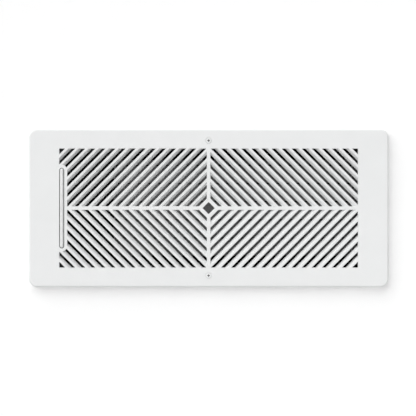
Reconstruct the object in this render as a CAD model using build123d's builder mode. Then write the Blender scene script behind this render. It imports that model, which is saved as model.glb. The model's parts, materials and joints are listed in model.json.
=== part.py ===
from build123d import *
import os
from math import acos, cos, pi, radians, sin, sqrt, tan

# A register for a 10 by 4 inch duct: a white grille in front, a motor-driven damper of five blades behind it.
# X is right, Z is up, the face looks along -Y and the duct lies behind it, along +Y.
# The origin is the middle of the plane where the faceplate's rim meets the wall. Sizes are in millimetres.

# Faceplate
PLATE_LENGTH = 304.8
PLATE_HEIGHT = 133.8
PLATE_DEPTH = 9.0
PLATE_CORNER_R = 7.0
PLATE_EDGE_R = 1.6
RIM_WALL = 2.4
FACE_WALL = 2.4
RIB_WALL = 1.4
RIB_GAP = 0.3
RIB_COUNT = 6

# Grille: concentric diamonds of leaning slats round a small ring, held by a cross of two bars
GRILLE_MARGIN_X = 25.9
GRILLE_MARGIN_Z = 16.5
SURROUND_WALL = 2.0
SURROUND_DEPTH = 6.0
BAR_WIDTH = 3.1
SLAT_PITCH = 6.04
SLAT_FACE = 2.0
SLAT_LEAN = 2.0
SLAT_DEPTH = 2.7
RING_REACH = 6.85
RING_WALL = 3.2
SLAT_ROOT = 0.6

# Light bar, pressed like a button, in a pill-shaped slot flush with the grille's left edge
LIGHT_SLOT_LENGTH = 68.2
LIGHT_SLOT_WIDTH = 4.15
LIGHT_GAP = 0.5
LIGHT_PROUD = 1.0
LIGHT_EDGE_R = 1.5
LIGHT_TRAVEL = 0.6
LIGHT_FLANGE = 0.75
LIGHT_FLANGE_THICKNESS = 0.8
LIGHT_FLANGE_CLEARANCE = 0.2
LIGHT_BOARD_THICKNESS = 1.2
LIGHT_BOARD_SHOULDER = 0.45
PAD_MARGIN = 2.6
SWITCH_R = 1.5
SWITCH_SPACING = 44.0
LED_COUNT = 4
LED_SPACING = 15.0
LED_SIZE = (1.6, 0.7, 2.2)

# Screws that hold the register to the wall
MOUNT_INSET = 9.75
MOUNT_SHANK_R = 1.6
MOUNT_NECK_R = 1.8
MOUNT_HEAD_R = 2.4
MOUNT_SCREW_LENGTH = 32.0
MOUNT_TIP = 3.0
MOUNT_BOSS_R = 3.4
SINK_ANGLE = 90.0
SINK_GAP = 0.3
RECESS_SPAN = 2.0
RECESS_WIDTH = 0.7
RECESS_DEPTH = 1.6

# Body: a sleeve that goes into the duct, with a flange behind the faceplate
SLEEVE_INSET = 1.9
BODY_WALL = 2.0
BODY_LEAD_IN = 0.8
FLANGE_REACH_X = 15.5
FLANGE_REACH_Z = 2.6
FLANGE_THICKNESS = 2.0
FLANGE_CORNER_R = 4.0
BODY_SCREW_OUT = 9.0
BODY_SCREW_IN = 16.4
POST_R = 3.2
POST_HOLE_DEPTH = 3.9
PARTITION_WALL = 2.4

# Damper blades
BLADE_COUNT = 5
BLADE_LAP = 1.85
BLADE_WEB = 1.6
BLADE_LIP = 1.2
BLADE_LAP_GAP = 0.5
BLADE_LOWER_STEP = 5.6
BLADE_UPPER_STEP = 1.7
BLADE_STEP_RUN = 0.9
BLADE_END_GAP = 0.4
SEAL_THICKNESS = 0.2
SEAL_SHOW = 0.9
STOP_SET_BACK = 0.6
SPINE_R = 3.0
SPINE_COVER = 0.3
TRUNNION_R = 2.5
TRUNNION_FLAT = 1.8
PIVOT_R = 1.6
PIVOT_REACH = 9.0
PIVOT_HEAD_R = 3.2
PIVOT_HEAD = 1.0

# Linkage: a crank on each blade, all on one link bar
CRANK_RADIUS = 8.0
CRANK_CLOSED_ANGLE = 45.0
CRANK_THICKNESS = 3.0
CRANK_HUB_R = 4.4
CRANK_EYE_R = 2.7
CRANK_GAP = 0.4
PIN_R = 1.5
PIN_HEAD_R = 1.9
PIN_HEAD = 0.9
LINK_THICKNESS = 2.0
LINK_WIDTH = 5.4
LINK_SIDE_GAP = 0.4

# Drive: a gear on the top blade, a pinion on the geared motor
GEAR_MODULE = 0.8
GEAR_TEETH = 24
PINION_TEETH = 12
GEAR_WIDTH = 4.0
GEAR_ADDENDUM = 0.8
GEAR_DEDENDUM = 1.1
GEAR_PRESSURE_ANGLE = 20.0
GEAR_BACKLASH = 0.16
GEAR_SIDE_GAP = 1.1
GEAR_SHELF_GAP = 0.76
GEARBOX_LENGTH = 9.0
MOTOR_LENGTH = 15.0
MOTOR_WIDTH = 12.0
MOTOR_THICKNESS = 10.0
MOTOR_BOSS_R = 2.4
MOTOR_BOSS = 0.8
MOTOR_SHAFT_R = 1.5
MOTOR_SHAFT_FLAT = 1.0
MOTOR_SHAFT_DEPTH = 5.0
MOTOR_FACE_GAP = 2.0
MOTOR_END_GAP = 0.7
CLAMP_SHEET = 1.2
CLAMP_WIDTH = 6.0
CLAMP_EAR = 4.8

# Battery well for two C cells that lie along the depth
CELL_R = 13.0
CELL_LENGTH = 50.0
CELL_EDGE = 0.8
NUB_R = 3.6
NUB_HEIGHT = 1.6
CELL_GAP = 0.4
CELL_END_GAP = 0.1
WELL_WALL = 1.5
WELL_RIB = 3.0
CONTACT_SPACE = 3.4
CONTACT_SHEET = 0.5
CONTACT_WIDTH = 8.0
CONTACT_HEIGHT = 14.0
DOOR_THICKNESS = 2.0
DOOR_GAP = 0.2
DOOR_TAB_LENGTH = 9.0
DOOR_TAB_WIDTH = 8.0
DOOR_TAB = 1.2
DOOR_GRIP_R = 7.0
DOOR_GRIP_DEPTH = 0.9

# Covers, boards and small screws of the left bay
SHELF_Y = 2.0
SHELF_THICKNESS = 2.0
COVER_THICKNESS = 2.0
COVER_TOP_INSET = 7.5
COVER_BOTTOM_INSET = 11.9
COVER_CORNER_R = 2.0
COVER_LAP = 3.0
COVER_GAP = 0.2
LEDGE = 1.5
BOARD_THICKNESS = 1.6
BOARD_STANDOFF = 3.0
BOARD_MARGIN = 1.3
BOARD_SCREW_INSET = 3.0
STANDOFF_R = 2.5
RADIO_WIDTH = 13.0
RADIO_HEIGHT = 2.4
RADIO_GAP = 4.35
PLUG_SIZE = (7.0, 4.5, 5.0)
REAR_POST_R = 2.8
REAR_POST_LENGTH = 18.0
SMALL_SHANK_R = 1.1
SMALL_HEAD_R = 2.2
SMALL_SCREW_LENGTH = 4.6
REAR_SCREW_LENGTH = 8.0
FINE_SHANK_R = 0.9
FINE_HEAD_R = 1.8
FINE_HEAD = 1.3
FINE_GRIP = 4.0

# Clearances
RUN_FIT = 0.05
PRESS_FIT = 0.02
SCREW_FIT = 0.03

# Outlines of the grille, the body and its flange
GRILLE_LENGTH = PLATE_LENGTH - 2 * GRILLE_MARGIN_X
GRILLE_HEIGHT = PLATE_HEIGHT - 2 * GRILLE_MARGIN_Z
MOUNT_SPACING = PLATE_HEIGHT - 2 * MOUNT_INSET
BODY_LENGTH = GRILLE_LENGTH - 2 * SLEEVE_INSET
BODY_HEIGHT = GRILLE_HEIGHT - 2 * SLEEVE_INSET
FLANGE_LENGTH = GRILLE_LENGTH + 2 * FLANGE_REACH_X
FLANGE_HEIGHT = GRILLE_HEIGHT + 2 * FLANGE_REACH_Z
BODY_SCREW_X = GRILLE_LENGTH / 2 + BODY_SCREW_OUT
BODY_SCREW_Z = GRILLE_HEIGHT / 2 - BODY_SCREW_IN
INNER_LEFT = -BODY_LENGTH / 2 + BODY_WALL
INNER_RIGHT = -INNER_LEFT
INNER_TOP = BODY_HEIGHT / 2 - BODY_WALL

# Depths, from the face to the back. The battery cells set the body's depth
FACE_FRONT = -PLATE_DEPTH
FACE_BACK = FACE_FRONT + FACE_WALL
SLAT_BACK = FACE_FRONT + SLAT_DEPTH
FLANGE_FRONT = FACE_FRONT + SURROUND_DEPTH
FLANGE_BACK = FLANGE_FRONT + FLANGE_THICKNESS
SHELF_BACK = SHELF_Y + SHELF_THICKNESS
COVER_FRONT = SHELF_Y - COVER_THICKNESS
CELL_FRONT = SHELF_BACK + CONTACT_SPACE
CELL_BACK = CELL_FRONT + CELL_LENGTH
DOOR_FRONT = CELL_BACK + CELL_END_GAP + CONTACT_SHEET
BODY_BACK = DOOR_FRONT + DOOR_THICKNESS

# Layers of the left bay, from the left wall to the partition: motor, gears, link bar, cranks
MOTOR_LEFT = INNER_LEFT + MOTOR_END_GAP + MOTOR_BOSS
GEARBOX_LEFT = MOTOR_LEFT + MOTOR_LENGTH
GEARBOX_RIGHT = GEARBOX_LEFT + GEARBOX_LENGTH
GEAR_LEFT = GEARBOX_RIGHT + MOTOR_FACE_GAP
GEAR_RIGHT = GEAR_LEFT + GEAR_WIDTH
PIN_END = GEAR_RIGHT + GEAR_SIDE_GAP + PIN_HEAD
LINK_LEFT = PIN_END + LINK_SIDE_GAP
LINK_RIGHT = LINK_LEFT + LINK_THICKNESS
CRANK_LEFT = LINK_RIGHT + LINK_SIDE_GAP
CRANK_RIGHT = CRANK_LEFT + CRANK_THICKNESS
BAY_RIGHT = CRANK_RIGHT + CRANK_GAP
PARTITION_X = BAY_RIGHT + PARTITION_WALL
COVER_TOP = INNER_TOP - COVER_TOP_INSET
COVER_BOTTOM = -INNER_TOP + COVER_BOTTOM_INSET

# Blade places, top to bottom, and the planes of the blade's section, measured from its axis
BLADE_PITCH = 2 * INNER_TOP / (BLADE_COUNT + 1)
BLADE_REACH = BLADE_PITCH / 2 + BLADE_LAP
BLADE_Y = SHELF_BACK + GEAR_MODULE * (GEAR_TEETH / 2 + GEAR_ADDENDUM) + GEAR_SHELF_GAP
BLADE_Z = [(BLADE_COUNT - 1) / 2 * BLADE_PITCH - k * BLADE_PITCH for k in range(BLADE_COUNT)]
BLADE_LEFT = PARTITION_X + BLADE_END_GAP
BLADE_RIGHT = INNER_RIGHT - BLADE_END_GAP
WEB_FRONT = -SPINE_R - SPINE_COVER
LAP_PLANE = WEB_FRONT + BLADE_WEB / 2
LIP_FRONT = LAP_PLANE - BLADE_LAP_GAP / 2 - BLADE_LIP
LIP_BACK = LAP_PLANE + BLADE_LAP_GAP / 2 + BLADE_LIP
SEAL_START = BLADE_PITCH - BLADE_REACH - SEAL_SHOW
PIN_Y = CRANK_RADIUS * cos(radians(CRANK_CLOSED_ANGLE))
PIN_Z = CRANK_RADIUS * sin(radians(CRANK_CLOSED_ANGLE))

# Motor axis, behind the top blade's axis
MOTOR_Y = BLADE_Y + GEAR_MODULE * (GEAR_TEETH + PINION_TEETH) / 2
MOTOR_Z = BLADE_Z[0]
CLAMP_X = GEARBOX_RIGHT - GEARBOX_LENGTH / 2
CLAMP_SCREW_Y = MOTOR_THICKNESS / 2 + CLAMP_SHEET + CLAMP_EAR / 2

# Battery well, in the lower left corner of the body
CELL_X = INNER_LEFT + CELL_GAP + CELL_R
CELL_Z = [-INNER_TOP + CELL_GAP + CELL_R, -INNER_TOP + 2 * CELL_GAP + 3 * CELL_R]
WELL_RIGHT = CELL_X + CELL_R + CELL_GAP
WELL_TOP = CELL_Z[1] + CELL_R + CELL_GAP

# Main board, on the shelf above the well
BOARD_FRONT = SHELF_BACK + BOARD_STANDOFF
BOARD_BACK = BOARD_FRONT + BOARD_THICKNESS
BOARD_LEFT = INNER_LEFT + BOARD_MARGIN
BOARD_RIGHT = GEARBOX_RIGHT - BOARD_MARGIN
BOARD_BOTTOM = WELL_TOP + WELL_WALL + BOARD_MARGIN
BOARD_TOP = INNER_TOP - BOARD_MARGIN

# Light bar depths
LIGHT_X = -GRILLE_LENGTH / 2 + LIGHT_SLOT_WIDTH / 2
LIGHT_BOARD_FRONT = FLANGE_FRONT - LIGHT_BOARD_THICKNESS
LIGHT_FLANGE_BACK = FACE_BACK + LIGHT_FLANGE_THICKNESS
CAVITY_GROWTH = 2 * (LIGHT_FLANGE + LIGHT_FLANGE_CLEARANCE)
POCKET_GROWTH = CAVITY_GROWTH + 2 * LIGHT_BOARD_SHOULDER


def facing(y, x=0.0, z=0.0):
    """Plane at depth y, seen from the front: X right, Z up. A positive extrusion comes forward."""
    return Plane(origin=(x, y, z), x_dir=(1, 0, 0), z_dir=(0, -1, 0))


def from_behind(y, x=0.0, z=0.0):
    """Plane at depth y, seen from behind: X left, Z up. A positive extrusion goes back."""
    return Plane(origin=(x, y, z), x_dir=(-1, 0, 0), z_dir=(0, 1, 0))


def across(x, y=0.0, z=0.0):
    """Plane across the blades at x: depth to the right, Z up. A positive extrusion goes along +X."""
    return Plane(origin=(x, y, z), x_dir=(0, 1, 0), z_dir=(1, 0, 0))


def block(x_range, y_range, z_range, mode=Mode.ADD):
    """Plain wall or rib of the part that is being built, between three pairs of limits."""
    middle = [(a + b) / 2 for a, b in (x_range, y_range, z_range)]
    with Locations(Location(tuple(middle))):
        Box(*(b - a for a, b in (x_range, y_range, z_range)), mode=mode)


def d_section(plane, radius, flat):
    """Round section with one flat, for a shaft end and the bore that takes it."""
    with BuildSketch(plane) as section:
        Circle(radius)
        with Locations((0, flat)):
            Rectangle(2 * radius, 2 * radius, align=(Align.CENTER, Align.MIN), mode=Mode.SUBTRACT)
    return section.sketch


def sunk_screw(head_r, shank_r, length, tip, neck=()):
    """Countersunk screw along +Z, with the flat of its head at the origin. A neck is (radius, end)."""
    top_r = neck[0] if neck else shank_r
    cone = (head_r - top_r) / tan(radians(SINK_ANGLE / 2))
    step = [neck, (shank_r, neck[1])] if neck else []
    with BuildPart() as screw:
        with BuildSketch(Plane.XZ):
            with BuildLine():
                Polyline(
                    (0, 0),
                    (head_r, 0),
                    (top_r, cone),
                    *step,
                    (shank_r, length - tip),
                    (shank_r / 3, length),
                    (0, length),
                    close=True,
                )
            make_face()
        revolve(axis=Axis.Z)
        with BuildSketch(Plane.XY):
            Rectangle(RECESS_SPAN * head_r / MOUNT_HEAD_R, RECESS_WIDTH)
            Rectangle(RECESS_WIDTH, RECESS_SPAN * head_r / MOUNT_HEAD_R)
        extrude(amount=RECESS_DEPTH * head_r / MOUNT_HEAD_R, mode=Mode.SUBTRACT)
    return screw.part


def pan_screw():
    """Small pan-head screw along +Z, with the underside of its head at the origin."""
    with BuildPart() as screw:
        with BuildSketch(Plane.XY):
            Circle(FINE_SHANK_R)
        extrude(amount=FINE_GRIP)
        with BuildSketch(Plane.XY):
            Circle(FINE_HEAD_R)
        extrude(amount=-FINE_HEAD)
        chamfer(screw.faces().sort_by(Axis.Z)[0].edges(), FINE_HEAD / 3)
        with BuildSketch(Plane.XY.offset(-FINE_HEAD)):
            Rectangle(1.2 * FINE_HEAD_R, RECESS_WIDTH / 2)
            Rectangle(RECESS_WIDTH / 2, 1.2 * FINE_HEAD_R)
        extrude(amount=FINE_HEAD / 2, mode=Mode.SUBTRACT)
    return screw.part


def gear_section(plane, teeth, phase):
    """Spur gear outline with involute flanks. Its first tooth lies on the plane's x axis, turned by phase."""
    pitch_r = GEAR_MODULE * teeth / 2
    base_r = pitch_r * cos(radians(GEAR_PRESSURE_ANGLE))
    tip_r = pitch_r + GEAR_ADDENDUM * GEAR_MODULE
    root_r = pitch_r - GEAR_DEDENDUM * GEAR_MODULE

    def half_angle(radius):
        """Half of a tooth's angle at a radius, by the involute of the base circle."""
        lean = acos(min(1.0, base_r / radius))
        pitch_lean = radians(GEAR_PRESSURE_ANGLE)
        half_at_pitch = pi / (2 * teeth) - GEAR_BACKLASH / (4 * pitch_r)
        return half_at_pitch + (tan(pitch_lean) - pitch_lean) - (tan(lean) - lean)

    flank = [root_r, max(base_r, root_r), pitch_r, tip_r]
    points = []
    for tooth in range(teeth):
        middle = radians(phase) + 2 * pi * tooth / teeth
        for side, radii in ((-1, flank), (1, flank[::-1])):
            for radius in radii:
                angle = middle + side * half_angle(radius)
                points.append((radius * cos(angle), radius * sin(angle)))
    with BuildSketch(plane) as section:
        with BuildLine():
            Polyline(*points, close=True)
        make_face()
    return section.sketch


os.makedirs("parts", exist_ok=True)


def save(part, name):
    """Names a finished piece and writes it."""
    part.label = name
    export_step(part, f"parts/{name}.step")


# Faceplate: slats of one quadrant, mirrored to the other three

grille_reach = (GRILLE_LENGTH + GRILLE_HEIGHT) / 2 / sqrt(2)
slat_count = int((grille_reach - RING_REACH) / SLAT_PITCH)
slat_section_plane = Plane(origin=(0, FACE_FRONT, 0), x_dir=(1, 0, 1), z_dir=(-1, 0, 1))

with BuildPart() as slats:
    with BuildSketch(slat_section_plane):
        for slat in range(1, slat_count + 1):
            outer = RING_REACH + slat * SLAT_PITCH
            with BuildLine():
                Polyline(
                    (outer, 0),
                    (outer - SLAT_FACE, 0),
                    (outer - SLAT_FACE - SLAT_LEAN, SLAT_DEPTH),
                    (outer - SLAT_LEAN, SLAT_DEPTH),
                    close=True,
                )
            make_face()
    extrude(amount=grille_reach, both=True)
    with BuildSketch(facing(SLAT_BACK)):
        Rectangle(
            GRILLE_LENGTH / 2 + SLAT_ROOT,
            GRILLE_HEIGHT / 2 + SLAT_ROOT,
            align=(Align.MIN, Align.MIN),
        )
    extrude(amount=SLAT_DEPTH, mode=Mode.INTERSECT)
    mirror(about=Plane.YZ)
    mirror(about=Plane.XY)

with BuildPart() as faceplate:
    # Plate with rounded corners and a rounded front edge, hollow behind
    with BuildSketch(facing(0)):
        RectangleRounded(PLATE_LENGTH, PLATE_HEIGHT, PLATE_CORNER_R)
    extrude(amount=PLATE_DEPTH)
    fillet(faceplate.faces().sort_by(Axis.Y)[0].edges(), PLATE_EDGE_R)
    with BuildSketch(facing(0)):
        RectangleRounded(
            PLATE_LENGTH - 2 * RIM_WALL, PLATE_HEIGHT - 2 * RIM_WALL, PLATE_CORNER_R - RIM_WALL
        )
    extrude(amount=-FACE_BACK, mode=Mode.SUBTRACT)
    # Wall round the grille, where the body's flange seats, then the opening
    with BuildSketch(facing(FLANGE_FRONT)):
        Rectangle(GRILLE_LENGTH + 2 * SURROUND_WALL, GRILLE_HEIGHT + 2 * SURROUND_WALL)
    extrude(amount=SURROUND_DEPTH - FACE_WALL / 2)
    with BuildSketch(facing(0)):
        Rectangle(GRILLE_LENGTH, GRILLE_HEIGHT)
    extrude(amount=PLATE_DEPTH, mode=Mode.SUBTRACT)
    # Ribs behind the margins, from the rim to the wall round the grille
    rib_depth = FLANGE_FRONT - RIB_GAP - FACE_BACK
    rib_middle_x = PLATE_LENGTH - GRILLE_MARGIN_X - RIM_WALL + SURROUND_WALL
    rib_middle_z = PLATE_HEIGHT - GRILLE_MARGIN_Z - RIM_WALL + SURROUND_WALL
    with BuildSketch(facing(FACE_BACK)):
        with GridLocations(rib_middle_x, BODY_SCREW_Z, 2, 3):
            Rectangle(GRILLE_MARGIN_X - SURROUND_WALL, RIB_WALL)
        with GridLocations(GRILLE_LENGTH / (RIB_COUNT - 1), rib_middle_z, RIB_COUNT, 2):
            Rectangle(RIB_WALL, GRILLE_MARGIN_Z - SURROUND_WALL)
    extrude(amount=-rib_depth)
    # Slats, cross bars and the diamond ring
    add(slats.part)
    with BuildSketch(facing(SLAT_BACK)):
        Rectangle(GRILLE_LENGTH + 2 * SLAT_ROOT, BAR_WIDTH)
        Rectangle(BAR_WIDTH, GRILLE_HEIGHT + 2 * SLAT_ROOT)
        Rectangle(2 * RING_REACH, 2 * RING_REACH, rotation=45)
    extrude(amount=SLAT_DEPTH)
    with BuildSketch(facing(SLAT_BACK)):
        Rectangle(2 * (RING_REACH - RING_WALL), 2 * (RING_REACH - RING_WALL), rotation=45)
    extrude(amount=SLAT_DEPTH, mode=Mode.SUBTRACT)
    # Pill-shaped pad for the light bar, its slot, the cavity for its flange and the pocket for its board
    with BuildSketch(facing(FLANGE_FRONT, LIGHT_X)):
        SlotOverall(LIGHT_SLOT_LENGTH + 2 * PAD_MARGIN, LIGHT_SLOT_WIDTH + 2 * PAD_MARGIN, rotation=90)
    extrude(amount=SURROUND_DEPTH)
    with BuildSketch(facing(FLANGE_FRONT, LIGHT_X)):
        SlotOverall(LIGHT_SLOT_LENGTH, LIGHT_SLOT_WIDTH, rotation=90)
    extrude(amount=SURROUND_DEPTH, mode=Mode.SUBTRACT)
    with BuildSketch(facing(FLANGE_FRONT, LIGHT_X)):
        SlotOverall(LIGHT_SLOT_LENGTH + CAVITY_GROWTH, LIGHT_SLOT_WIDTH + CAVITY_GROWTH, rotation=90)
    extrude(amount=FLANGE_FRONT - FACE_BACK, mode=Mode.SUBTRACT)
    with BuildSketch(facing(FLANGE_FRONT, LIGHT_X)):
        SlotOverall(LIGHT_SLOT_LENGTH + POCKET_GROWTH, LIGHT_SLOT_WIDTH + POCKET_GROWTH, rotation=90)
    extrude(amount=LIGHT_BOARD_THICKNESS, mode=Mode.SUBTRACT)
    # Posts for the body's screws
    with BuildSketch(facing(FLANGE_FRONT)):
        with GridLocations(2 * BODY_SCREW_X, 2 * BODY_SCREW_Z, 2, 2):
            Circle(POST_R)
    extrude(amount=FLANGE_FRONT - FACE_BACK)
    with BuildSketch(facing(FLANGE_FRONT)):
        with GridLocations(2 * BODY_SCREW_X, 2 * BODY_SCREW_Z, 2, 2):
            Circle(SMALL_SHANK_R + SCREW_FIT)
    extrude(amount=POST_HOLE_DEPTH, mode=Mode.SUBTRACT)
    # Bosses and countersunk holes for the two mounting screws
    with BuildSketch(facing(0)):
        with GridLocations(0, MOUNT_SPACING, 1, 2):
            Circle(MOUNT_BOSS_R)
    extrude(amount=-FACE_BACK)
    with Locations(facing(FACE_FRONT)):
        with GridLocations(0, MOUNT_SPACING, 1, 2):
            CounterSinkHole(
                MOUNT_NECK_R + RUN_FIT, MOUNT_HEAD_R + SINK_GAP, PLATE_DEPTH, SINK_ANGLE
            )
save(faceplate.part, "faceplate")

with BuildPart() as mounting_screws:
    mount_neck = (MOUNT_NECK_R, PLATE_DEPTH)
    mount_screw = sunk_screw(MOUNT_HEAD_R, MOUNT_SHANK_R, MOUNT_SCREW_LENGTH, MOUNT_TIP, mount_neck)
    with Locations(from_behind(FACE_FRONT)):
        with GridLocations(0, MOUNT_SPACING, 1, 2):
            add(mount_screw)
save(mounting_screws.part, "mounting_screws")

# Light bar with a flange that holds it behind the face, and the board that its flange presses

with BuildPart() as light_bar:
    with BuildSketch(facing(FACE_BACK, LIGHT_X)):
        SlotOverall(LIGHT_SLOT_LENGTH - 2 * LIGHT_GAP, LIGHT_SLOT_WIDTH - 2 * LIGHT_GAP, rotation=90)
    extrude(amount=FACE_WALL + LIGHT_PROUD)
    fillet(light_bar.faces().sort_by(Axis.Y)[0].edges(), LIGHT_EDGE_R)
    with BuildSketch(facing(LIGHT_FLANGE_BACK, LIGHT_X)):
        SlotOverall(LIGHT_SLOT_LENGTH + 2 * LIGHT_FLANGE, LIGHT_SLOT_WIDTH + 2 * LIGHT_FLANGE, rotation=90)
    extrude(amount=LIGHT_FLANGE_THICKNESS)
save(light_bar.part, "light_bar")

switch_height = LIGHT_BOARD_FRONT - LIGHT_FLANGE_BACK - LIGHT_TRAVEL - RUN_FIT
with BuildPart() as light_board:
    with BuildSketch(facing(FLANGE_FRONT, LIGHT_X)):
        SlotOverall(
            LIGHT_SLOT_LENGTH + POCKET_GROWTH - 2 * LIGHT_FLANGE_CLEARANCE,
            LIGHT_SLOT_WIDTH + POCKET_GROWTH - 2 * LIGHT_FLANGE_CLEARANCE,
            rotation=90,
        )
    extrude(amount=LIGHT_BOARD_THICKNESS)
    with BuildSketch(facing(LIGHT_BOARD_FRONT, LIGHT_X)):
        with GridLocations(0, SWITCH_SPACING, 1, 2):
            Circle(SWITCH_R)
    extrude(amount=switch_height)
    with BuildSketch(facing(LIGHT_BOARD_FRONT, LIGHT_X)):
        with GridLocations(0, LED_SPACING, 1, LED_COUNT):
            Rectangle(LED_SIZE[0], LED_SIZE[2])
    extrude(amount=LED_SIZE[1])
save(light_board.part, "light_board")

# Body: sleeve and flange, partition, blade stops, shelf, battery well, motor seat and posts

with BuildPart() as vent_body:
    with BuildSketch(facing(FLANGE_FRONT)):
        Rectangle(BODY_LENGTH, BODY_HEIGHT)
    extrude(amount=FLANGE_FRONT - BODY_BACK)
    chamfer(vent_body.faces().sort_by(Axis.Y)[-1].edges(), BODY_LEAD_IN)
    with BuildSketch(facing(FLANGE_FRONT)):
        RectangleRounded(FLANGE_LENGTH, FLANGE_HEIGHT, FLANGE_CORNER_R)
    extrude(amount=-FLANGE_THICKNESS)
    with BuildSketch(facing(FLANGE_FRONT)):
        Rectangle(INNER_RIGHT - INNER_LEFT, 2 * INNER_TOP)
    extrude(amount=FLANGE_FRONT - BODY_BACK, mode=Mode.SUBTRACT)
    with Locations(from_behind(FLANGE_BACK)):
        with GridLocations(2 * BODY_SCREW_X, 2 * BODY_SCREW_Z, 2, 2):
            CounterSinkHole(
                SMALL_SHANK_R + SCREW_FIT, SMALL_HEAD_R + SCREW_FIT, FLANGE_THICKNESS, SINK_ANGLE
            )
    # Partition between the blades and the left bay, with a lip that carries the bay's cover
    block((BAY_RIGHT, PARTITION_X), (COVER_FRONT, BODY_BACK), (-INNER_TOP, INNER_TOP))
    # Stops that the end blades close on: in front of the top lip and above it, and behind the bottom lip
    stop_reach = BLADE_Z[0] + BLADE_PITCH - BLADE_REACH
    stop_top = BLADE_Z[0] + BLADE_REACH + BLADE_LAP_GAP
    block(
        (PARTITION_X, INNER_RIGHT),
        (BLADE_Y + LIP_FRONT, BLADE_Y + LIP_FRONT + BLADE_LIP),
        (stop_reach, stop_top),
    )
    block(
        (PARTITION_X, INNER_RIGHT),
        (BLADE_Y + LIP_FRONT + STOP_SET_BACK, BLADE_Y + LIP_FRONT + STOP_SET_BACK + BLADE_LIP),
        (stop_top, INNER_TOP),
    )
    block(
        (PARTITION_X, INNER_RIGHT),
        (BLADE_Y + LIP_BACK - BLADE_LIP, BLADE_Y + LIP_BACK),
        (-INNER_TOP, -stop_reach),
    )
    # Shelf behind the bay's cover, with a window over the linkage
    block((INNER_LEFT, BAY_RIGHT), (SHELF_Y, SHELF_BACK), (-INNER_TOP, INNER_TOP))
    block(
        (WELL_RIGHT + WELL_WALL, BAY_RIGHT - LEDGE),
        (SHELF_Y, SHELF_BACK),
        (COVER_BOTTOM + COVER_LAP, COVER_TOP - COVER_LAP),
        mode=Mode.SUBTRACT,
    )
    # Battery well with corner ribs that the door rests on
    block((WELL_RIGHT, WELL_RIGHT + WELL_WALL), (SHELF_BACK, BODY_BACK), (-INNER_TOP, WELL_TOP + WELL_WALL))
    block((INNER_LEFT, WELL_RIGHT + WELL_WALL), (SHELF_BACK, BODY_BACK), (WELL_TOP, WELL_TOP + WELL_WALL))
    for x_range in ((INNER_LEFT, INNER_LEFT + WELL_RIB), (WELL_RIGHT - WELL_RIB, WELL_RIGHT)):
        for z_range in ((-INNER_TOP, -INNER_TOP + WELL_RIB), (WELL_TOP - WELL_RIB, WELL_TOP)):
            block(x_range, (SHELF_BACK, DOOR_FRONT), z_range)
    # Seat that hangs from the top wall and takes the geared motor
    seat_reach = MOTOR_THICKNESS / 2 + CLAMP_SHEET + CLAMP_EAR
    block(
        (CLAMP_X - CLAMP_WIDTH / 2, CLAMP_X + CLAMP_WIDTH / 2),
        (MOTOR_Y - seat_reach, MOTOR_Y + seat_reach),
        (MOTOR_Z + MOTOR_WIDTH / 2, INNER_TOP),
    )
    with BuildSketch(Plane.XY.offset(MOTOR_Z + MOTOR_WIDTH / 2)):
        with Locations((CLAMP_X, MOTOR_Y)):
            with GridLocations(0, 2 * CLAMP_SCREW_Y, 1, 2):
                Circle(FINE_SHANK_R + SCREW_FIT)
    extrude(amount=FINE_GRIP, mode=Mode.SUBTRACT)
    # Standoffs for the main board
    board_middle = ((BOARD_LEFT + BOARD_RIGHT) / 2, (BOARD_BOTTOM + BOARD_TOP) / 2)
    board_grid = (
        BOARD_RIGHT - BOARD_LEFT - 2 * BOARD_SCREW_INSET,
        BOARD_TOP - BOARD_BOTTOM - 2 * BOARD_SCREW_INSET,
    )
    with BuildSketch(facing(SHELF_BACK, board_middle[0], board_middle[1])):
        with GridLocations(*board_grid, 2, 2):
            Circle(STANDOFF_R)
    extrude(amount=-BOARD_STANDOFF)
    with BuildSketch(facing(BOARD_FRONT, board_middle[0], board_middle[1])):
        with GridLocations(*board_grid, 2, 2):
            Circle(FINE_SHANK_R + SCREW_FIT)
    extrude(amount=FINE_GRIP - BOARD_THICKNESS, mode=Mode.SUBTRACT)
    # Posts in the corners for the rear cover
    corner = REAR_POST_R - 2 * COVER_GAP
    rear_posts = [
        (INNER_LEFT + corner, INNER_TOP - corner),
        (BAY_RIGHT - corner, INNER_TOP - corner),
        (INNER_LEFT + corner, WELL_TOP + WELL_WALL + corner),
        (BAY_RIGHT - corner, -INNER_TOP + corner),
    ]
    with BuildSketch(facing(DOOR_FRONT)):
        with Locations(*rear_posts):
            Circle(REAR_POST_R)
    extrude(amount=REAR_POST_LENGTH)
    with BuildSketch(facing(DOOR_FRONT)):
        with Locations(*rear_posts):
            Circle(SMALL_SHANK_R + SCREW_FIT)
    extrude(amount=REAR_SCREW_LENGTH, mode=Mode.SUBTRACT)
    # Bearing holes: trunnions in the partition, pivot pins in the right wall
    with BuildSketch(across(BAY_RIGHT, BLADE_Y)):
        with GridLocations(0, BLADE_PITCH, 1, BLADE_COUNT):
            Circle(TRUNNION_R + RUN_FIT)
    extrude(amount=PARTITION_WALL, mode=Mode.SUBTRACT)
    with BuildSketch(across(INNER_RIGHT, BLADE_Y)):
        with GridLocations(0, BLADE_PITCH, 1, BLADE_COUNT):
            Circle(PIVOT_R + PRESS_FIT)
    extrude(amount=BODY_WALL, mode=Mode.SUBTRACT)
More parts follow.
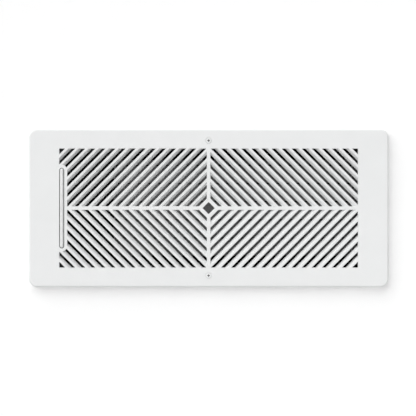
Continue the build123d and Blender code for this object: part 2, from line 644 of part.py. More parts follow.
    # Holes for the screws of the bay's cover
    cover_middle_z = (COVER_TOP + COVER_BOTTOM) / 2
    cover_screws_at = [
        (INNER_LEFT + 2 * SMALL_HEAD_R, COVER_TOP - 2 * SMALL_HEAD_R),
        (INNER_LEFT + 2 * SMALL_HEAD_R, COVER_BOTTOM + 2 * SMALL_HEAD_R),
        (WELL_RIGHT - 2 * SMALL_HEAD_R, COVER_TOP - 2 * SMALL_HEAD_R),
        (WELL_RIGHT - 2 * SMALL_HEAD_R, COVER_BOTTOM + 2 * SMALL_HEAD_R),
    ]
    with BuildSketch(facing(SHELF_Y)):
        with Locations(*cover_screws_at):
            Circle(SMALL_SHANK_R + SCREW_FIT)
    extrude(amount=-SHELF_THICKNESS, mode=Mode.SUBTRACT)
save(vent_body.part, "vent_body")

with BuildPart() as body_screws:
    body_screw = sunk_screw(SMALL_HEAD_R, SMALL_SHANK_R, SMALL_SCREW_LENGTH, SMALL_SHANK_R)
    with Locations(facing(FLANGE_BACK)):
        with GridLocations(2 * BODY_SCREW_X, 2 * BODY_SCREW_Z, 2, 2):
            add(body_screw)
save(body_screws.part, "body_screws")

with BuildPart() as pivot_pins:
    with BuildSketch(across(BODY_LENGTH / 2, BLADE_Y)):
        with GridLocations(0, BLADE_PITCH, 1, BLADE_COUNT):
            Circle(PIVOT_HEAD_R)
    extrude(amount=PIVOT_HEAD)
    with BuildSketch(across(BODY_LENGTH / 2, BLADE_Y)):
        with GridLocations(0, BLADE_PITCH, 1, BLADE_COUNT):
            Circle(PIVOT_R)
    extrude(amount=-(BODY_WALL + BLADE_END_GAP + PIVOT_REACH - 2 * RUN_FIT))
save(pivot_pins.part, "pivot_pins")

# Blades and cranks, top to bottom. The top blade's trunnion is longer and carries the drive gear

for number, blade_z in enumerate(BLADE_Z, start=1):
    trunnion_end = GEAR_LEFT if number == 1 else CRANK_LEFT
    with BuildPart() as blade:
        with BuildSketch(across(BLADE_LEFT, BLADE_Y, blade_z)):
            with BuildLine():
                Polyline(
                    (LIP_FRONT, -BLADE_REACH),
                    (LIP_FRONT, -BLADE_LOWER_STEP),
                    (WEB_FRONT, -BLADE_LOWER_STEP + BLADE_STEP_RUN),
                    (WEB_FRONT, BLADE_UPPER_STEP),
                    (LIP_BACK - BLADE_LIP, BLADE_UPPER_STEP + BLADE_STEP_RUN),
                    (LIP_BACK - BLADE_LIP, SEAL_START),
                    (LIP_BACK - BLADE_LIP - SEAL_THICKNESS, SEAL_START),
                    (LIP_BACK - BLADE_LIP - SEAL_THICKNESS, BLADE_REACH),
                    (LIP_BACK, BLADE_REACH),
                    (LIP_BACK, BLADE_UPPER_STEP + BLADE_STEP_RUN),
                    (WEB_FRONT + BLADE_WEB, BLADE_UPPER_STEP),
                    (WEB_FRONT + BLADE_WEB, -BLADE_LOWER_STEP + BLADE_STEP_RUN),
                    (LIP_FRONT + BLADE_LIP, -BLADE_LOWER_STEP),
                    (LIP_FRONT + BLADE_LIP, -BLADE_REACH),
                    close=True,
                )
            make_face()
            Circle(SPINE_R)
        extrude(amount=BLADE_RIGHT - BLADE_LEFT)
        with BuildSketch(across(BLADE_LEFT, BLADE_Y, blade_z)):
            Circle(TRUNNION_R)
        extrude(amount=CRANK_RIGHT - BLADE_LEFT)
        shaft_end = d_section(across(CRANK_RIGHT, BLADE_Y, blade_z), TRUNNION_R, TRUNNION_FLAT)
        extrude(shaft_end, amount=trunnion_end - CRANK_RIGHT)
        with BuildSketch(across(BLADE_RIGHT, BLADE_Y, blade_z)):
            Circle(PIVOT_R + RUN_FIT)
        extrude(amount=-PIVOT_REACH, mode=Mode.SUBTRACT)
    save(blade.part, f"blade_{number}")

    with BuildPart() as crank:
        with BuildSketch(across(CRANK_LEFT, BLADE_Y, blade_z)):
            Circle(CRANK_HUB_R)
            with Locations((PIN_Y, PIN_Z)):
                Circle(CRANK_EYE_R)
            make_hull()
        extrude(amount=CRANK_THICKNESS)
        bore = d_section(
            across(CRANK_LEFT, BLADE_Y, blade_z), TRUNNION_R + PRESS_FIT, TRUNNION_FLAT + PRESS_FIT
        )
        extrude(bore, amount=CRANK_THICKNESS, mode=Mode.SUBTRACT)
        with BuildSketch(across(CRANK_LEFT, BLADE_Y + PIN_Y, blade_z + PIN_Z)):
            Circle(PIN_R)
        extrude(amount=PIN_END - CRANK_LEFT)
        with BuildSketch(across(PIN_END, BLADE_Y + PIN_Y, blade_z + PIN_Z)):
            Circle(PIN_HEAD_R)
        extrude(amount=-PIN_HEAD)
        chamfer(crank.faces().sort_by(Axis.X)[0].edges(), PIN_HEAD / 2)
    save(crank.part, f"crank_{number}")

with BuildPart() as link_bar:
    with BuildSketch(across(LINK_LEFT, BLADE_Y + PIN_Y, PIN_Z)):
        SlotCenterToCenter((BLADE_COUNT - 1) * BLADE_PITCH, LINK_WIDTH, rotation=90)
        with GridLocations(0, BLADE_PITCH, 1, BLADE_COUNT):
            Circle(PIN_R + RUN_FIT, mode=Mode.SUBTRACT)
    extrude(amount=LINK_THICKNESS)
save(link_bar.part, "link_bar")

# Drive: gear, pinion, geared motor and its clamp

with BuildPart() as drive_gear:
    gear_plane = across(GEAR_LEFT, BLADE_Y, BLADE_Z[0])
    extrude(gear_section(gear_plane, GEAR_TEETH, 0), amount=GEAR_WIDTH)
    gear_bore = d_section(gear_plane, TRUNNION_R + PRESS_FIT, TRUNNION_FLAT + PRESS_FIT)
    extrude(gear_bore, amount=GEAR_WIDTH, mode=Mode.SUBTRACT)
save(drive_gear.part, "drive_gear")

motor_plane = across(GEARBOX_RIGHT, MOTOR_Y, MOTOR_Z)
with BuildPart() as motor_pinion:
    pinion_plane = across(GEAR_LEFT, MOTOR_Y, MOTOR_Z)
    extrude(gear_section(pinion_plane, PINION_TEETH, 180 / PINION_TEETH), amount=GEAR_WIDTH)
    pinion_bore = d_section(pinion_plane, MOTOR_SHAFT_R + PRESS_FIT, MOTOR_SHAFT_FLAT + PRESS_FIT)
    extrude(pinion_bore, amount=GEAR_WIDTH, mode=Mode.SUBTRACT)
save(motor_pinion.part, "motor_pinion")

with BuildPart() as output_shaft:
    with BuildSketch(motor_plane):
        Circle(MOTOR_SHAFT_R)
    extrude(amount=-MOTOR_SHAFT_DEPTH)
    shaft_section = d_section(motor_plane, MOTOR_SHAFT_R, MOTOR_SHAFT_FLAT)
    extrude(shaft_section, amount=GEAR_RIGHT - GEARBOX_RIGHT)
save(output_shaft.part, "output_shaft")

with BuildPart() as gearbox:
    with BuildSketch(motor_plane):
        Rectangle(MOTOR_THICKNESS, MOTOR_WIDTH)
    extrude(amount=-GEARBOX_LENGTH)
    chamfer(gearbox.edges().filter_by(Axis.X), CLAMP_SHEET / 2)
    with BuildSketch(motor_plane):
        Circle(MOTOR_SHAFT_R + RUN_FIT)
    extrude(amount=-MOTOR_SHAFT_DEPTH - RUN_FIT, mode=Mode.SUBTRACT)
save(gearbox.part, "gearbox")

with BuildPart() as motor_can:
    with BuildSketch(across(GEARBOX_LEFT, MOTOR_Y, MOTOR_Z)):
        Circle(MOTOR_WIDTH / 2)
        Rectangle(MOTOR_THICKNESS, MOTOR_WIDTH, mode=Mode.INTERSECT)
    extrude(amount=-MOTOR_LENGTH)
    with BuildSketch(across(MOTOR_LEFT, MOTOR_Y, MOTOR_Z)):
        Circle(MOTOR_BOSS_R)
    extrude(amount=-MOTOR_BOSS)
save(motor_can.part, "motor_can")

with BuildPart() as motor_clamp:
    inside = (MOTOR_THICKNESS / 2 + RUN_FIT, MOTOR_WIDTH / 2)
    outside = (inside[0] + CLAMP_SHEET, inside[1] + RUN_FIT + CLAMP_SHEET)
    with BuildSketch(across(CLAMP_X - CLAMP_WIDTH / 2, MOTOR_Y, MOTOR_Z)):
        with BuildLine():
            half = Polyline(
                (0, -outside[1]),
                (outside[0], -outside[1]),
                (outside[0], inside[1] - CLAMP_SHEET),
                (outside[0] + CLAMP_EAR - RUN_FIT, inside[1] - CLAMP_SHEET),
                (outside[0] + CLAMP_EAR - RUN_FIT, inside[1]),
                (inside[0], inside[1]),
                (inside[0], -inside[1] - RUN_FIT),
                (0, -inside[1] - RUN_FIT),
            )
            mirror(half, about=Plane.YZ)
        make_face()
    extrude(amount=CLAMP_WIDTH)
    with BuildSketch(Plane.XY.offset(MOTOR_Z + MOTOR_WIDTH / 2)):
        with Locations((CLAMP_X, MOTOR_Y)):
            with GridLocations(0, 2 * CLAMP_SCREW_Y, 1, 2):
                Circle(FINE_SHANK_R + SCREW_FIT)
    extrude(amount=-CLAMP_SHEET, mode=Mode.SUBTRACT)
save(motor_clamp.part, "motor_clamp")

with BuildPart() as clamp_screws:
    fine_screw = pan_screw()
    with Locations((CLAMP_X, MOTOR_Y, MOTOR_Z + MOTOR_WIDTH / 2 - CLAMP_SHEET)):
        with GridLocations(0, 2 * CLAMP_SCREW_Y, 1, 2):
            add(fine_screw)
save(clamp_screws.part, "clamp_screws")

# Electronics of the left bay

with BuildPart() as main_board:
    with BuildSketch(facing(BOARD_BACK, *board_middle)):
        Rectangle(BOARD_RIGHT - BOARD_LEFT, BOARD_TOP - BOARD_BOTTOM)
        with GridLocations(*board_grid, 2, 2):
            Circle(FINE_SHANK_R + SCREW_FIT, mode=Mode.SUBTRACT)
    extrude(amount=BOARD_THICKNESS)
    with BuildSketch(facing(BOARD_BACK, *board_middle)):
        with GridLocations(0, board_grid[1], 1, 2):
            Rectangle(PLUG_SIZE[0], PLUG_SIZE[2])
    extrude(amount=-PLUG_SIZE[1])
save(main_board.part, "main_board")

with BuildPart() as radio_module:
    with BuildSketch(facing(BOARD_BACK, *board_middle)):
        Rectangle(RADIO_WIDTH, board_grid[1] - PLUG_SIZE[2] - 2 * RADIO_GAP)
    extrude(amount=-RADIO_HEIGHT)
    chamfer(radio_module.faces().sort_by(Axis.Y)[-1].edges(), RADIO_HEIGHT / 6)
save(radio_module.part, "radio_module")

with BuildPart() as board_screws:
    with Locations(facing(BOARD_BACK, *board_middle)):
        with GridLocations(*board_grid, 2, 2):
            add(fine_screw)
save(board_screws.part, "board_screws")

# Covers of the left bay

with BuildPart() as bay_cover:
    cover_left = INNER_LEFT + COVER_GAP
    cover_right = BAY_RIGHT - COVER_GAP
    with BuildSketch(facing(SHELF_Y, (cover_left + cover_right) / 2, cover_middle_z)):
        RectangleRounded(cover_right - cover_left, COVER_TOP - COVER_BOTTOM, COVER_CORNER_R)
    extrude(amount=COVER_THICKNESS)
    for x, z in cover_screws_at:
        with Locations(facing(COVER_FRONT, x, z)):
            CounterSinkHole(
                SMALL_SHANK_R + SCREW_FIT, SMALL_HEAD_R + SCREW_FIT, COVER_THICKNESS, SINK_ANGLE
            )
save(bay_cover.part, "bay_cover")

with BuildPart() as cover_screws:
    cover_screw = sunk_screw(SMALL_HEAD_R, SMALL_SHANK_R, COVER_THICKNESS + SHELF_THICKNESS, SMALL_SHANK_R)
    for x, z in cover_screws_at:
        with Locations(from_behind(COVER_FRONT, x, z)):
            add(cover_screw)
save(cover_screws.part, "cover_screws")

with BuildPart() as rear_cover:
    with BuildSketch(facing(BODY_BACK)):
        with BuildLine():
            Polyline(
                (INNER_LEFT + COVER_GAP, INNER_TOP - COVER_GAP),
                (BAY_RIGHT - COVER_GAP, INNER_TOP - COVER_GAP),
                (BAY_RIGHT - COVER_GAP, -INNER_TOP + COVER_GAP),
                (WELL_RIGHT + WELL_WALL + COVER_GAP, -INNER_TOP + COVER_GAP),
                (WELL_RIGHT + WELL_WALL + COVER_GAP, WELL_TOP + WELL_WALL + COVER_GAP),
                (INNER_LEFT + COVER_GAP, WELL_TOP + WELL_WALL + COVER_GAP),
                close=True,
            )
        make_face()
    extrude(amount=DOOR_THICKNESS)
    for x, z in rear_posts:
        with Locations(from_behind(BODY_BACK, x, z)):
            CounterSinkHole(
                SMALL_SHANK_R + SCREW_FIT, SMALL_HEAD_R + SCREW_FIT, DOOR_THICKNESS, SINK_ANGLE
            )
save(rear_cover.part, "rear_cover")

with BuildPart() as rear_screws:
    rear_screw = sunk_screw(SMALL_HEAD_R, SMALL_SHANK_R, REAR_SCREW_LENGTH, SMALL_SHANK_R)
    for x, z in rear_posts:
        with Locations(facing(BODY_BACK, x, z)):
            add(rear_screw)
save(rear_screws.part, "rear_screws")

# Battery cells, contacts and door. The upper cell points forward, the lower one back

for number, cell_z in enumerate(CELL_Z, start=1):
    cell_plane = facing(CELL_BACK, CELL_X, cell_z) if number == 2 else from_behind(CELL_FRONT, CELL_X, cell_z)
    with BuildPart() as cell:
        with BuildSketch(cell_plane):
            Circle(CELL_R)
        extrude(amount=CELL_LENGTH - NUB_HEIGHT)
        chamfer(cell.edges().filter_by(GeomType.CIRCLE), CELL_EDGE)
        with BuildSketch(cell_plane.offset(CELL_LENGTH - NUB_HEIGHT)):
            Circle(NUB_R)
        extrude(amount=NUB_HEIGHT)
    save(cell.part, f"battery_cell_{number}")

with BuildPart() as battery_contacts:
    for cell_z in CELL_Z:
        with BuildSketch(across(CELL_X - CONTACT_WIDTH / 2, SHELF_BACK, cell_z)):
            spring_rise = CELL_FRONT - CELL_END_GAP - SHELF_BACK
            with BuildLine():
                Polyline(
                    (0, -CONTACT_HEIGHT / 2),
                    (0, CONTACT_HEIGHT / 2),
                    (2 * CONTACT_SHEET, CONTACT_HEIGHT / 2),
                    (spring_rise, CONTACT_HEIGHT / 8),
                    (spring_rise, -CONTACT_HEIGHT / 8),
                    (spring_rise - CONTACT_SHEET, -CONTACT_HEIGHT / 8),
                    (spring_rise - CONTACT_SHEET, CONTACT_HEIGHT / 8 - CONTACT_SHEET),
                    (2 * CONTACT_SHEET, CONTACT_HEIGHT / 2 - 2 * CONTACT_SHEET),
                    (CONTACT_SHEET, CONTACT_HEIGHT / 2 - 2 * CONTACT_SHEET),
                    (CONTACT_SHEET, -CONTACT_HEIGHT / 2),
                    close=True,
                )
            make_face()
        extrude(amount=CONTACT_WIDTH)
save(battery_contacts.part, "battery_contacts")

door_left = INNER_LEFT + DOOR_GAP
door_right = WELL_RIGHT - DOOR_GAP
door_bottom = -INNER_TOP + DOOR_GAP
door_top = WELL_TOP - DOOR_GAP
cells_middle = (CELL_Z[0] + CELL_Z[1]) / 2
with BuildPart() as battery_door:
    with BuildSketch(facing(BODY_BACK, (door_left + door_right) / 2, (door_bottom + door_top) / 2)):
        Rectangle(door_right - door_left, door_top - door_bottom)
    extrude(amount=DOOR_THICKNESS)
    # Spring tabs that grip the well's walls between the two cells
    for x_range in ((door_left, door_left + DOOR_TAB), (door_right - DOOR_TAB, door_right)):
        block(
            x_range,
            (DOOR_FRONT - DOOR_TAB_LENGTH, DOOR_FRONT),
            (cells_middle - DOOR_TAB_WIDTH / 2, cells_middle + DOOR_TAB_WIDTH / 2),
        )
    # Thumb hollow near the upper edge
    with BuildSketch(facing(BODY_BACK, CELL_X, door_top - 1.5 * DOOR_GRIP_R)):
        Circle(DOOR_GRIP_R)
    extrude(amount=DOOR_GRIP_DEPTH, mode=Mode.SUBTRACT)
save(battery_door.part, "battery_door")

with BuildPart() as battery_bus:
    with BuildSketch(facing(DOOR_FRONT, CELL_X, cells_middle)):
        SlotCenterToCenter(CELL_Z[1] - CELL_Z[0], CONTACT_WIDTH, rotation=90)
    extrude(amount=CONTACT_SHEET)
save(battery_bus.part, "battery_bus")
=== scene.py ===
import json
import math

import bpy
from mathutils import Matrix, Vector


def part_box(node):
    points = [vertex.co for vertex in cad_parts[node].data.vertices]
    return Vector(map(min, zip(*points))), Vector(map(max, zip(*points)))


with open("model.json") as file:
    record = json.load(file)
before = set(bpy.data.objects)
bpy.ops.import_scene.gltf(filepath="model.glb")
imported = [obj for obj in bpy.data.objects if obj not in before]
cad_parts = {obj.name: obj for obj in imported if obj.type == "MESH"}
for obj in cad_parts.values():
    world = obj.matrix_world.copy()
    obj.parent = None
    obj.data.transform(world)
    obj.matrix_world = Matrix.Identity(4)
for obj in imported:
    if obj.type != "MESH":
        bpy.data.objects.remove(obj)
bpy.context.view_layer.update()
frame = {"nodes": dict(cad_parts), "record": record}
nodes = frame["nodes"]


# Material building blocks. Lengths are in metres, and a noise's stretch is in features per metre

def grey(level):
    return (level, level, level)


def new_material(name):
    """Material with a Principled shader alone. Returns the material, its node tree and the shader."""
    material = bpy.data.materials.new(name)
    material.use_nodes = True
    tree = material.node_tree
    tree.nodes.clear()
    output = tree.nodes.new("ShaderNodeOutputMaterial")
    shader = tree.nodes.new("ShaderNodeBsdfPrincipled")
    tree.links.new(shader.outputs["BSDF"], output.inputs["Surface"])
    return material, tree, shader


def stretched(tree, stretch, turn=(0, 0, 0)):
    """Object coordinates, scaled along each axis and then turned."""
    coords = tree.nodes.new("ShaderNodeTexCoord")
    mapping = tree.nodes.new("ShaderNodeMapping")
    mapping.inputs["Rotation"].default_value = turn
    mapping.inputs["Scale"].default_value = stretch
    tree.links.new(coords.outputs["Object"], mapping.inputs["Vector"])
    return mapping.outputs["Vector"]


def noise(tree, stretch, detail=2.0, roughness=0.5):
    texture = tree.nodes.new("ShaderNodeTexNoise")
    texture.inputs["Scale"].default_value = 1.0
    texture.inputs["Detail"].default_value = detail
    texture.inputs["Roughness"].default_value = roughness
    tree.links.new(stretched(tree, stretch), texture.inputs["Vector"])
    return texture.outputs["Fac"]


def between(tree, factor, low, high, start=0.3, end=0.7):
    """A number that goes from low to high as the factor goes from start to end."""
    spread = tree.nodes.new("ShaderNodeMapRange")
    spread.inputs["From Min"].default_value = start
    spread.inputs["From Max"].default_value = end
    spread.inputs["To Min"].default_value = low
    spread.inputs["To Max"].default_value = high
    tree.links.new(factor, spread.inputs["Value"])
    return spread.outputs["Result"]


def colours(tree, factor, dark, light, start=0.3, end=0.7):
    """A colour that goes from dark to light as the factor goes from start to end."""
    ramp = tree.nodes.new("ShaderNodeValToRGB")
    first, last = ramp.color_ramp.elements
    first.position, first.color = start, (*dark, 1)
    last.position, last.color = end, (*light, 1)
    tree.links.new(factor, ramp.inputs["Fac"])
    return ramp.outputs["Color"]


def bumped(tree, shader, height, distance, normal=None):
    """Fine relief on the shader's normal, on top of another normal where one is given."""
    bump = tree.nodes.new("ShaderNodeBump")
    if normal is not None:
        tree.links.new(normal, bump.inputs["Normal"])
    bump.inputs["Distance"].default_value = distance
    bump.inputs["Strength"].default_value = 1.0
    tree.links.new(height, bump.inputs["Height"])
    tree.links.new(bump.outputs["Normal"], shader.inputs["Normal"])


def moulded(name, dark, light, grain, depth, roughness=(0.45, 0.6), specular=0.4):
    """Moulded plastic, foam or film: soft blotches of colour, a fine grain in the surface and its gloss."""
    material, tree, shader = new_material(name)
    blotches = noise(tree, (70, 70, 70), detail=4)
    tree.links.new(colours(tree, blotches, dark, light), shader.inputs["Base Color"])
    fine = noise(tree, (grain, grain, grain), detail=3)
    tree.links.new(between(tree, fine, *roughness), shader.inputs["Roughness"])
    shader.inputs["Specular IOR Level"].default_value = specular
    bumped(tree, shader, fine, depth)
    return material


def brushed(name, dark, light, stretch, roughness=(0.22, 0.4)):
    """Plated or bare metal with fine drawn lines."""
    material, tree, shader = new_material(name)
    lines = noise(tree, stretch, detail=5, roughness=0.65)
    tree.links.new(colours(tree, lines, dark, light, 0.25, 0.75), shader.inputs["Base Color"])
    tree.links.new(between(tree, lines, *roughness), shader.inputs["Roughness"])
    shader.inputs["Metallic"].default_value = 1.0
    bumped(tree, shader, lines, distance=0.00002)
    return material


# Materials of the record's slots

COAT_EDGE_R = 0.0004


def powder_coat():
    """Satin white coat with a faint orange peel, drawn round over the edges of the casting."""
    material, tree, shader = new_material("face_white")
    cloud = noise(tree, (40, 40, 40), detail=3)
    white = colours(tree, cloud, (0.892, 0.902, 0.902), (0.908, 0.916, 0.916))
    tree.links.new(white, shader.inputs["Base Color"])
    peel = noise(tree, (1100, 1100, 1100), detail=2)
    tree.links.new(between(tree, peel, 0.40, 0.52), shader.inputs["Roughness"])
    shader.inputs["Specular IOR Level"].default_value = 0.3
    edges = tree.nodes.new("ShaderNodeBevel")
    edges.samples = 6
    edges.inputs["Radius"].default_value = COAT_EDGE_R
    bumped(tree, shader, peel, distance=0.00001, normal=edges.outputs["Normal"])
    return material


def light_pipe():
    """Milky translucent bar."""
    material, tree, shader = new_material("light_white")
    cloud = noise(tree, (300, 300, 120), detail=2)
    milk = colours(tree, cloud, (0.785, 0.79, 0.79), (0.825, 0.83, 0.83))
    tree.links.new(milk, shader.inputs["Base Color"])
    tree.links.new(between(tree, cloud, 0.22, 0.32), shader.inputs["Roughness"])
    shader.inputs["Specular IOR Level"].default_value = 0.9
    shader.inputs["Subsurface Weight"].default_value = 0.2
    shader.inputs["Subsurface Radius"].default_value = (0.0012, 0.0012, 0.0012)
    shader.inputs["Subsurface Scale"].default_value = 1.0
    bumped(tree, shader, cloud, distance=0.00002)
    return material


def circuit_board():
    """Green solder mask with copper tracks under it."""
    material, tree, shader = new_material("board_green")
    tracks = tree.nodes.new("ShaderNodeTexBrick")
    tracks.inputs["Scale"].default_value = 1.0
    tracks.inputs["Mortar Size"].default_value = 0.06
    tracks.inputs["Color1"].default_value = (0.012, 0.13, 0.045, 1)
    tracks.inputs["Color2"].default_value = (0.010, 0.105, 0.038, 1)
    tracks.inputs["Mortar"].default_value = (0.03, 0.22, 0.075, 1)
    upright = stretched(tree, (420, 420, 420), turn=(math.radians(90), 0, 0))
    tree.links.new(upright, tracks.inputs["Vector"])
    tree.links.new(tracks.outputs["Color"], shader.inputs["Base Color"])
    fine = noise(tree, (900, 900, 900))
    tree.links.new(between(tree, fine, 0.25, 0.38), shader.inputs["Roughness"])
    bumped(tree, shader, tracks.outputs["Fac"], distance=0.00002)
    return material


TEXTURED = {"grain": 1500, "depth": 0.00004}
DRAWN_ALONG_X = (250, 2500, 2500)
DRAWN_ALONG_Z = (2500, 2500, 250)

white_coat = powder_coat()
black_body = moulded("body_black", (0.026, 0.026, 0.028), (0.036, 0.036, 0.038), **TEXTURED)
black_cover = moulded("cover_black", grey(0.018), grey(0.025), **TEXTURED)
# Darker, matte copy of the black plastic, as painted shade on surfaces seen through the grille and in the
# light bar's slot
painted_shade_black = moulded("painted_shade_black", grey(0.004), grey(0.007), **TEXTURED, specular=0.04)
grey_blade = moulded(
    "blade_grey",
    (0.155, 0.155, 0.157),
    (0.185, 0.185, 0.187),
    grain=1400,
    depth=0.00003,
    specular=0.1,
)
acetal = moulded(
    "acetal_white",
    (0.70, 0.69, 0.65),
    (0.78, 0.77, 0.73),
    grain=900,
    depth=0.00002,
    roughness=(0.3, 0.4),
)
wrap = moulded(
    "cell_wrap",
    (0.20, 0.21, 0.23),
    (0.24, 0.25, 0.27),
    grain=600,
    depth=0.00001,
    roughness=(0.2, 0.3),
    specular=0.5,
)
zinc = brushed("zinc_steel", grey(0.50), grey(0.66), DRAWN_ALONG_X)
brass = brushed("gearbox_brass", (0.62, 0.47, 0.22), (0.78, 0.62, 0.32), DRAWN_ALONG_X)
nickel = brushed("contact_nickel", (0.60, 0.59, 0.56), (0.74, 0.73, 0.70), DRAWN_ALONG_Z)

SLOT_MATERIALS = {
    "face_white": white_coat,
    "screw_white": white_coat,
    "light_white": light_pipe(),
    "body_black": black_body,
    "blade_grey": grey_blade,
    "cover_black": black_cover,
    "acetal_white": acetal,
    "zinc_steel": zinc,
    "gearbox_brass": brass,
    "contact_nickel": nickel,
    "board_green": circuit_board(),
    "cell_wrap": wrap,
}

for entry in frame["record"]["subparts"]:
    mesh = nodes[entry["node"]].data
    mesh.materials.clear()
    mesh.materials.append(SLOT_MATERIALS[entry["material_slot"]])


# Parts of a node that get a material of their own, some as their own finish and some as painted shade.
# Their limits have a little to spare

# Least share of a normal along Y, for a face square to Y and for one that leans
SQUARE = 0.9
LEANING = 0.5


def paint(node, material, chosen):
    """Gives the material to the node's faces whose centre and normal are chosen."""
    mesh = nodes[node].data
    mesh.materials.append(material)
    for face in mesh.polygons:
        if chosen(face.center, face.normal):
            face.material_index = len(mesh.materials) - 1


def looks_forward(normal):
    return normal.y < -SQUARE


# Recess in the heads of the mounting screws, painted a dark steel grey as painted shade
RECESS_SHARE = 0.46
RECESS_START = 0.0001
RECESS_END = 0.002
face_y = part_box("faceplate")[0].y
screw_low, screw_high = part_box("mounting_screws")
head_r = (screw_high.x - screw_low.x) / 2
screw_z = screw_high.z - head_r
painted_recess_shade = brushed("recess_shade_steel", grey(0.10), grey(0.16), (900, 900, 900), (0.4, 0.6))


def in_recess(centre, normal):
    from_axis = math.hypot(centre.x, abs(centre.z) - screw_z)
    return from_axis < RECESS_SHARE * head_r and face_y + RECESS_START < centre.y < face_y + RECESS_END


paint("mounting_screws", painted_recess_shade, in_recess)

# Skirt of the light bar, inside its slot, painted near-black as painted shade in the gap around the bar
SKIRT_DEPTH = 0.0006
skirt_y = face_y + SKIRT_DEPTH
paint("light_bar", painted_shade_black, lambda centre, normal: centre.y > skirt_y)

# Lamps and switches in front of the light board
LIGHT_BOARD_THICKNESS = 0.00125
lamp_gel = moulded(
    "lamp_gel",
    (0.80, 0.70, 0.30),
    (0.90, 0.82, 0.42),
    grain=1500,
    depth=0.00001,
    roughness=(0.2, 0.3),
)
lamps_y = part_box("light_board")[1].y - LIGHT_BOARD_THICKNESS
paint("light_board", lamp_gel, lambda centre, normal: centre.y < lamps_y)

# Plugs on the back of the main board
MAIN_BOARD_THICKNESS = 0.0017
plug_nylon = moulded("plug_nylon", (0.66, 0.63, 0.54), (0.74, 0.71, 0.62), grain=1200, depth=0.00002)
plugs_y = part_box("main_board")[0].y + MAIN_BOARD_THICKNESS
paint("main_board", plug_nylon, lambda centre, normal: centre.y > plugs_y)

# Seal strips on the upper lips of the blades, which lie further back than the lower lips, painted black as
# the painted shadow line under each lower lip
BLADES = 5
BLADE_LIP = 0.0012
SEAL_HEIGHT = 0.0048
seal_painted_shade = moulded(
    "seal_painted_shade",
    grey(0.006),
    grey(0.012),
    grain=2500,
    depth=0.00008,
    roughness=(0.85, 0.95),
    specular=0.05,
)
blade_front, blade_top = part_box("blade_1")[0].y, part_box("blade_1")[1].z
for number in range(1, BLADES + 1):
    blade = f"blade_{number}"
    seal_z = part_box(blade)[1].z - SEAL_HEIGHT

    def on_seal(centre, normal):
        return centre.z > seal_z and looks_forward(normal) and centre.y > blade_front + BLADE_LIP

    paint(blade, seal_painted_shade, on_seal)

# Front faces behind the grille, the front of the bay cover and the cover screws get a darker, matte black
# as painted shade, apart from the front of the top stop, which gets the blade grey
GRILLE_X = 0.126
GRILLE_Z = 0.050
SHADE_DEPTH = 0.007
STOP_FLUSH = 0.0002
STOP_LAP = 0.0042
STOP_RISE = 0.001


def behind_grille(centre, normal):
    inside = abs(centre.x) < GRILLE_X and abs(centre.z) < GRILLE_Z
    return inside and looks_forward(normal) and centre.y < blade_front + SHADE_DEPTH


def on_top_stop(centre, normal):
    flush = looks_forward(normal) and abs(centre.y - blade_front) < STOP_FLUSH
    return flush and blade_top - STOP_LAP < centre.z < blade_top + STOP_RISE


paint("vent_body", painted_shade_black, behind_grille)
paint("bay_cover", painted_shade_black, lambda centre, normal: normal.y < -LEANING)
paint("cover_screws", painted_shade_black, lambda centre, normal: True)
paint("vent_body", grey_blade, on_top_stop)

# Bare ends and terminals of the battery cells
TERMINAL_R = 0.005
for cell in ("battery_cell_1", "battery_cell_2"):
    low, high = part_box(cell)
    axis_x = (low.x + high.x) / 2
    axis_z = (low.z + high.z) / 2

    def bare_metal(centre, normal):
        return abs(normal.y) > SQUARE or math.hypot(centre.x - axis_x, centre.z - axis_z) < TERMINAL_R

    paint(cell, nickel, bare_metal)


# The wall that the register is screwed to, with the duct's opening, and a pale floor

def seen(tree):
    """1 for a ray from the camera, straight or by way of gloss or clear material, and 0 for any other."""
    path = tree.nodes.new("ShaderNodeLightPath")
    either = path.outputs["Is Camera Ray"]
    for kind in ("Is Glossy Ray", "Is Transmission Ray"):
        larger = tree.nodes.new("ShaderNodeMath")
        larger.operation = "MAXIMUM"
        tree.links.new(either, larger.inputs[0])
        tree.links.new(path.outputs[kind], larger.inputs[1])
        either = larger.outputs[0]
    return either


def pale_surface(name, level, lift):
    """Matte pale surface. The camera sees it a little brighter, so that the unshaded part is white."""
    material, tree, shader = new_material(name)
    fine = noise(tree, (200, 200, 200))
    tree.links.new(between(tree, fine, 0.85, 0.95), shader.inputs["Roughness"])
    shader.inputs["Base Color"].default_value = (*grey(level), 1)
    shader.inputs["Specular IOR Level"].default_value = 0.0
    shader.inputs["Emission Color"].default_value = (1, 1, 1, 1)
    tree.links.new(between(tree, seen(tree), 0.0, lift, 0, 1), shader.inputs["Emission Strength"])
    return material


def stage_mesh(name, points, faces, material):
    mesh = bpy.data.meshes.new(name)
    mesh.from_pydata(points, [], faces)
    mesh.materials.append(material)
    thing = bpy.data.objects.new(name, mesh)
    bpy.context.scene.collection.objects.link(thing)


WALL_Y = 0.0002
CORNERS = [(-1, -1), (1, -1), (1, 1), (-1, 1)]

# Half sizes of the wall, of its opening, which the plate laps by 4 mm, and of the floor
WALL_HALF = 0.27
OPENING_X = 0.1484
OPENING_Z = 0.0629
FLOOR_HALF = 1.5

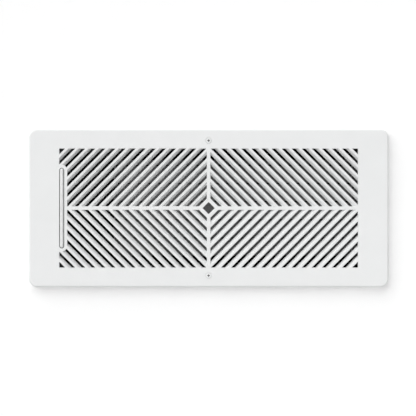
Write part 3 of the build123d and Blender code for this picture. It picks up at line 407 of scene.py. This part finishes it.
wall_points = [(WALL_HALF * x, WALL_Y, WALL_HALF * z) for x, z in CORNERS]
wall_points += [(OPENING_X * x, WALL_Y, OPENING_Z * z) for x, z in CORNERS]
wall_faces = [(k, (k + 1) % 4, 4 + (k + 1) % 4, 4 + k) for k in range(4)]
stage_mesh("wall", wall_points, wall_faces, pale_surface("wall_white", 0.97, lift=0.14))

floor_points = [(FLOOR_HALF * x, FLOOR_HALF * y, -WALL_HALF) for x, y in CORNERS]
stage_mesh("floor", floor_points, [(0, 1, 2, 3)], pale_surface("floor_white", 0.6, lift=0.3))


# Soft light from the upper left, in front of the wall, and a weaker light from behind it

def sun(name, toward_light, strength, angle):
    """Distant lamp, as wide in the sky as the angle in degrees."""
    lamp = bpy.data.lights.new(name, "SUN")
    lamp.energy = strength
    lamp.angle = math.radians(angle)
    thing = bpy.data.objects.new(name, lamp)
    thing.rotation_mode = "QUATERNION"
    thing.rotation_quaternion = Vector(toward_light).to_track_quat("Z", "Y")
    bpy.context.scene.collection.objects.link(thing)


sun("key", toward_light=(-0.42, -0.72, 0.68), strength=2.34, angle=82)
sun("behind", toward_light=(0.40, 0.70, 0.60), strength=1.6, angle=50)


# White surroundings, which light the object less brightly than they show

SKY_LIGHT = 0.28
SKY_SEEN = 1.0
world = bpy.data.worlds.new("studio")
bpy.context.scene.world = world
world.use_nodes = True
sky = world.node_tree
sky.nodes.clear()
sky_out = sky.nodes.new("ShaderNodeOutputWorld")
background = sky.nodes.new("ShaderNodeBackground")
background.inputs["Color"].default_value = (1, 1, 1, 1)
sky.links.new(between(sky, seen(sky), SKY_LIGHT, SKY_SEEN, 0, 1), background.inputs["Strength"])
sky.links.new(background.outputs["Background"], sky_out.inputs["Surface"])


# Camera straight in front, far away, so that the plate fills the frame as in the photo

FRAME_WIDTH = 0.35228
AIM_X = -0.00054
AIM_Z = 0.00007
DISTANCE = 2.0
camera_data = bpy.data.cameras.new("camera")
camera_data.sensor_width = 36.0
camera_data.lens = camera_data.sensor_width * DISTANCE / FRAME_WIDTH
camera = bpy.data.objects.new("camera", camera_data)
camera.location = (AIM_X, face_y - DISTANCE, AIM_Z)
camera.rotation_euler = (math.radians(90), 0, 0)
bpy.context.scene.collection.objects.link(camera)
bpy.context.scene.camera = camera
bpy.context.scene.view_settings.view_transform = "Standard"
